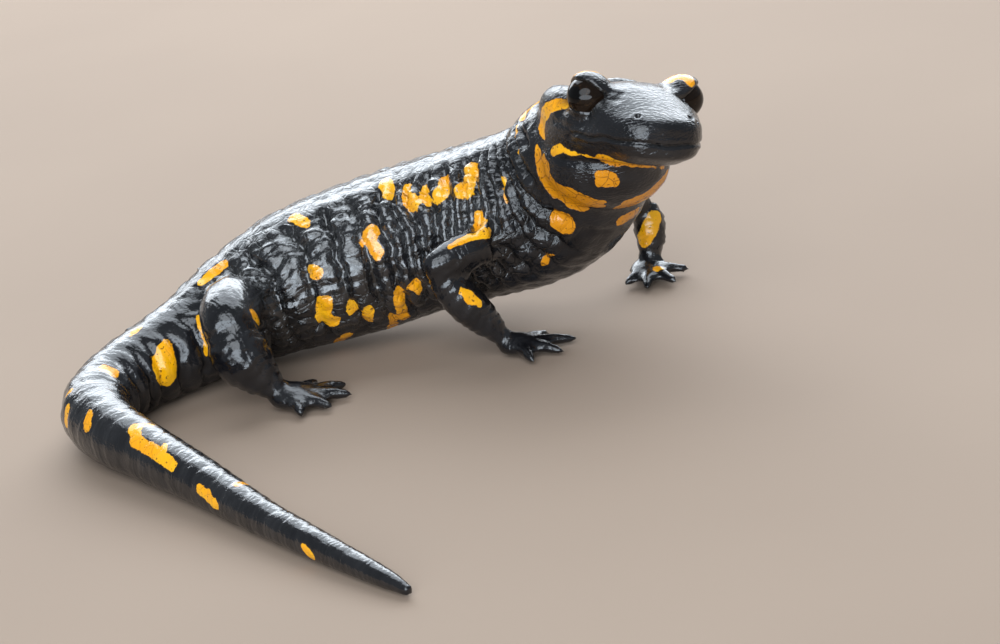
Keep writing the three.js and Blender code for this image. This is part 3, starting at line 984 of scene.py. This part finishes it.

# %% [markdown]
# ## The skin
# A fire salamander's skin is glossy black under a film of slime. It breaks up the light in
# three sizes: pillows between the grooves, a net of fine cracks, and on the snout ripples as
# fine as a fingerprint. The cracks, the mouth line and the eye openings get painted shade, a
# black darker than the skin. The spots are smooth, egg-yolk yellow on the back and a darker
# orange on the throat and belly, partly their own colour and partly painted shade, with dark
# pores and brown cracks. A painted texture would need an image, so all of it comes from nodes:
# noise and Voronoi patterns in Object coordinates, steered by the numbers that were kept on
# the mesh. The slime is a clear coat, which runs smoothly over the small relief below it, as
# the real film does.

# %% A material and the helpers that add nodes to it


class Finish:
    def __init__(self, name):
        self.material = bpy.data.materials.new(name)
        self.material.use_nodes = True
        self.tree = self.material.node_tree
        self.place = self.add("TexCoord").node.outputs["Object"]

    def give(self, node, **inputs):
        # An input gets a constant or the output of another node. i0 is a node's first input.
        for name, value in inputs.items():
            key = int(name[1:]) if name[1:].isdigit() else name.replace("_", " ")
            if isinstance(value, bpy.types.NodeSocket):
                self.tree.links.new(value, node.inputs[key])
            else:
                node.inputs[key].default_value = value

    def surface(self, **inputs):
        self.give(self.tree.nodes["Principled BSDF"], **inputs)

    def add(self, kind, settings=None, **inputs):
        node = self.tree.nodes.new("ShaderNode" + kind)
        for name, value in (settings or {}).items():
            setattr(node, name, value)
        self.give(node, **inputs)
        return node.outputs[0]

    def maths(self, operation, first, second):
        return self.add("Math", {"operation": operation}, i0=first, i1=second)

    def plus(self, first, second):
        return self.maths("ADD", first, second)

    def times(self, first, second):
        return self.maths("MULTIPLY", first, second)

    def most(self, first, second):
        return self.maths("MAXIMUM", first, second)

    def fade(self, value, low, high, start=0.0, end=1.0):
        # Runs smoothly from `start` to `end` while the value goes from `low` to `high`.
        return self.add(
            "MapRange", {"interpolation_type": "SMOOTHSTEP"},
            Value=value, From_Min=low, From_Max=high, To_Min=start, To_Max=end,
        )

    def mix(self, share, first, second):
        mixed = self.add("Mix", {"data_type": "RGBA"}, i0=share, i6=first, i7=second)
        return mixed.node.outputs[2]

    def kept(self, name):
        return self.add("Attribute", {"attribute_name": name}).node.outputs["Fac"]

    def noise(self, scale, detail):
        return self.add("TexNoise", Vector=self.place, Scale=scale, Detail=detail)

    def net(self, place, scale, width):
        # 1 on the lines of a net, fading to 0 at the given share of a mesh away from them.
        from_line = self.add("TexVoronoi", {"feature": "DISTANCE_TO_EDGE"}, Vector=place, Scale=scale)
        return self.fade(from_line, 0.0, width, 1.0, 0.0)


print("helpers ready")

# %% Patterns on the hide
skin = Finish("skin")
spots_mm = skin.kept("spots")
grooved_here = skin.kept("grooved")
leathery_here = skin.kept("leathery")
recess_shade_here = skin.kept("deep")
face_here = skin.kept("face")
underneath_here = skin.kept("underneath")

# Cracks: far from the nearest whole number of grooves or rows there is none.
from_ring = skin.maths("PINGPONG", skin.kept("ring"), 0.5)
from_row_line = skin.maths("PINGPONG", skin.kept("row"), 0.5)
ring_crack = skin.times(skin.fade(from_ring, 0, 0.1, 1, 0), grooved_here)
row_crack = skin.times(skin.fade(from_row_line, 0, 0.12, 0.7, 0), grooved_here)

# The nets are warped by up to about a millimetre, so that their lines aren't straight.
WARP = (0.0009, 0.0009, 0.0009)
wander = skin.noise(420, 2).node.outputs["Color"]
warped = skin.add("VectorMath", {"operation": "MULTIPLY_ADD"}, i0=wander, i1=WARP, i2=skin.place)
net_crack = skin.net(warped, 640, 0.13)
fine_crack = skin.net(warped, 1500, 0.16)
broad = skin.noise(190, 3)
ragged = skin.noise(950, 3)
grain = skin.noise(3400, 2)

# The ripples of the snout run across it, so the pattern is stretched that way.
RIPPLE_STRETCH = (0.42, 1.0, 1.15)
RIPPLE_TILT = (0.0, math.radians(8), 0.0)
stretched = skin.add("Mapping", Vector=skin.place, Scale=RIPPLE_STRETCH, Rotation=RIPPLE_TILT)
ripples = skin.add("TexNoise", Vector=stretched, Scale=2900.0, Detail=1.5, Distortion=0.4)
print("pattern nodes:", len(skin.tree.nodes))

# %% Colours of the hide
BLACK = (0.0045, 0.0045, 0.0058, 1.0)
SLATE = (0.012, 0.0118, 0.0135, 1.0)
# Painted shade: a black darker than the skin, for the cracks, the mouth line and the eye openings.
CREASE_SHADE_BLACK = (0.002, 0.0018, 0.0018, 1.0)
YELLOW = (0.93, 0.45, 0.004, 1.0)
YOLK = (0.91, 0.36, 0.003, 1.0)
SHADED_THROAT_ORANGE = (0.64, 0.24, 0.003, 1.0)
CRACK_BROWN = (0.1, 0.035, 0.004, 1.0)

spot_edge = skin.plus(spots_mm, skin.fade(ragged, 0.25, 0.75, -0.24, 0.08))
in_spot = skin.fade(spot_edge, 0.07, -0.07)
pores = skin.fade(skin.noise(2300, 1), 0.655, 0.7)
patchy = skin.fade(broad, 0.42, 0.58, 0.15, 0.8)
spot_crack = skin.times(skin.net(warped, 520, 0.05), patchy)
spot_crack = skin.times(spot_crack, skin.fade(underneath_here, 0.1, 0.7, 0.35, 1))

yellow = skin.mix(skin.fade(broad, 0.35, 0.65), YELLOW, YOLK)
# Darker orange on throat and belly: partly their own colour, partly painted shade.
yellow = skin.mix(underneath_here, yellow, SHADED_THROAT_ORANGE)
yellow = skin.mix(skin.most(spot_crack, skin.times(pores, 0.8)), yellow, CRACK_BROWN)
black = skin.mix(skin.fade(broad, 0.35, 0.68), BLACK, SLATE)
# The grooves, the rows of pillows and the net of cracks are painted darker: painted shade in the creases.
net_shade = skin.times(net_crack, skin.fade(leathery_here, 0, 0.8, 0.2, 0.8))
fold_crack = skin.most(ring_crack, row_crack)
cracks = skin.most(fold_crack, net_shade)
black = skin.mix(cracks, black, CREASE_SHADE_BLACK)
# The mouth line, the lid rims and the eye openings get painted shade.
colour = skin.mix(recess_shade_here, skin.mix(in_spot, black, yellow), CREASE_SHADE_BLACK)
print("nodes with the colours:", len(skin.tree.nodes))

# %% Gloss and slime
# The gloss is uneven: some patches are mirror smooth and others almost satin.
gloss = skin.fade(skin.noise(330, 4), 0.36, 0.66, 0.1, 0.23)
gloss = skin.plus(gloss, skin.times(cracks, 0.12))
# The clear coat is full on the leathery flanks and thin on back, head, tail and throat.
slime = skin.fade(leathery_here, 0.25, 0.95, 0.2, 1)
slime = skin.times(slime, skin.fade(underneath_here, 0, 1, 1, 0.15))
skin.surface(Base_Color=colour, Roughness=gloss, IOR=1.52)
skin.surface(Coat_Weight=slime, Coat_Roughness=0.16, Coat_IOR=1.6)
print("nodes with the gloss:", len(skin.tree.nodes))

# %% Relief of the hide
body_here = skin.maths("SUBTRACT", 1, face_here)
spot_calm = skin.fade(in_spot, 0, 1, 1, 0.45)
net_depth = skin.times(skin.fade(leathery_here, 0, 0.8, 0.14, 1), spot_calm)
net_depth = skin.times(net_depth, body_here)
# Fine rings run round the tail, the neck and the limbs, where the net of cracks is faint.
ring_phase = skin.plus(skin.times(skin.kept("ring"), 19.0), skin.times(ragged, 9.0))
fine_rings = skin.maths("SINE", ring_phase, 0)
fine_rings = skin.times(fine_rings, skin.fade(leathery_here, 0, 0.6, 0.08, 0))
finest = skin.times(skin.times(ripples, face_here), spot_calm)
finest = skin.plus(finest, skin.times(grain, 0.25))
finest = skin.plus(finest, skin.times(fine_rings, body_here))
small = skin.times(fine_crack, net_depth)
large = skin.most(skin.times(net_crack, net_depth), fold_crack)
relief = skin.add("Bump", Height=finest, Strength=0.8, Distance=0.00016)
for height, strength, depth in ((small, 0.5, 0.00004), (large, 0.9, 0.0001)):
    relief = skin.add(
        "Bump", {"invert": True}, Height=height, Strength=strength, Distance=depth, Normal=relief
    )
skin.surface(Normal=relief)

hide.data.materials.clear()
hide.data.materials.append(skin.material)
pick(hide)
bpy.ops.object.shade_smooth()
print("skin nodes:", len(skin.tree.nodes))

# %% [markdown]
# ## The eyes' finish
# Under the clear window lie a round black pupil and an iris of the darkest brown, flecked
# with bronze near its rim. Mirror-like gloss does the rest, so the iris only shows where no
# light is reflected. The colours follow the angle from the ball's pole, kept on its points.

# %% Eye material
PUPIL = (0.0015, 0.0012, 0.0012, 1.0)
IRIS = (0.008, 0.004, 0.002, 1.0)
BRONZE = (0.034, 0.017, 0.007, 1.0)

bead = Finish("eye")
from_pole = bead.kept("from_pole")
flecks = bead.fade(bead.noise(2600, 3), 0.52, 0.72, 0, 0.8)
iris = bead.mix(flecks, IRIS, BRONZE)
iris = bead.mix(bead.fade(from_pole, 44, 60, 0, 0.85), iris, IRIS)
iris = bead.mix(bead.fade(from_pole, 21, 25), PUPIL, iris)
smear = bead.fade(bead.noise(700, 2), 0.3, 0.7, 0.05, 0.12)
bead.surface(Base_Color=iris, Roughness=smear, IOR=1.34)
for ball in eyeballs.values():
    ball.data.materials.clear()
    ball.data.materials.append(bead.material)
print("eye nodes:", len(bead.tree.nodes))

# %% [markdown]
# ## Riding and replacing
# The animal doesn't move, so every piece rides on the root body. The hide stands for all the
# flesh solids and each eyeball for its own faceted ball.

# %% Fasten the pieces
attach(hide, "root")
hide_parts(*flesh)
for node, ball in eyeballs.items():
    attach(ball, "root")
    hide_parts(node)
print("hide stands for", len(flesh), "solids")

# %% [markdown]
# ## Floor and light
# A plain, warm, pale floor runs past the edges of the view. Wet skin shows mostly what it
# mirrors, so the light comes from four wide cool sheets, as from windows. One hangs above and
# behind for the shine on the back, and a long low one behind it lights the rim. Two oval ones
# stand in front for the flank, the snout and round highlights in the eyes. A dim cool room
# fills the shadows.

# %% Floor
FLOOR_SIZE = 4.0
FLOOR_DROP = 0.2 * MM
SAND = (0.322, 0.238, 0.178, 1.0)
PALE_SAND = (0.346, 0.257, 0.192, 1.0)

bpy.ops.mesh.primitive_plane_add(size=FLOOR_SIZE, location=(0.0, 0.0, -FLOOR_DROP))
floor = bpy.context.object
bpy.ops.object.transform_apply(location=True, rotation=True, scale=True)
floor.name = "floor"
paper = Finish("paper")
mottle = paper.fade(paper.noise(9.0, 3.0), 0.3, 0.7)
paper.surface(Base_Color=paper.mix(mottle, SAND, PALE_SAND), Roughness=0.85)
floor.data.materials.append(paper.material)
print("floor:", FLOOR_SIZE, "m wide")

# %% Lights
LIGHTS = [   # name, shape, place, what it aims at, size, watts, colour
    ("sky", "RECTANGLE", (0.08, 0.4, 0.46), (0, 0.02, 0.02), (0.74, 0.55), 4.3, (0.84, 0.92, 1)),
    ("rim", "RECTANGLE", (0.05, 0.8, 0.33), (0, 0, 0.02), (1.3, 0.38), 7.5, (0.88, 0.94, 1)),
    ("window", "ELLIPSE", (-0.12, -0.58, 0.6), (0, 0, 0.02), (0.8, 0.62), 4.6, (0.86, 0.93, 1)),
    ("front", "ELLIPSE", (-0.18, -0.88, 0.2), (0, 0, 0.02), (1.1, 0.44), 7.0, (0.8, 0.9, 1)),
]
ROOM_COLOUR = (0.84, 0.92, 1.0, 1.0)
ROOM_STRENGTH = 0.27

for name, shape, place, aim, size, watts, tint in LIGHTS:
    bpy.ops.object.light_add(type="AREA", location=place)
    light = bpy.context.object
    light.name = name
    light.data.shape = shape
    light.data.size, light.data.size_y = size
    light.data.energy = watts
    light.data.color = tint
    light.rotation_euler = (Vector(aim) - Vector(place)).to_track_quat("-Z", "Y").to_euler()
room = bpy.data.worlds.new("room")
bpy.context.scene.world = room
room.use_nodes = True
room.node_tree.nodes["Background"].inputs["Color"].default_value = ROOM_COLOUR
room.node_tree.nodes["Background"].inputs["Strength"].default_value = ROOM_STRENGTH

# %% [markdown]
# The finish must not change the animal's size.

# %% [markdown]
# The Standard view keeps the yellow as strong as the material says, where the softer AgX view
# would wash it out.

# %% View
bpy.context.scene.view_settings.view_transform = "Standard"
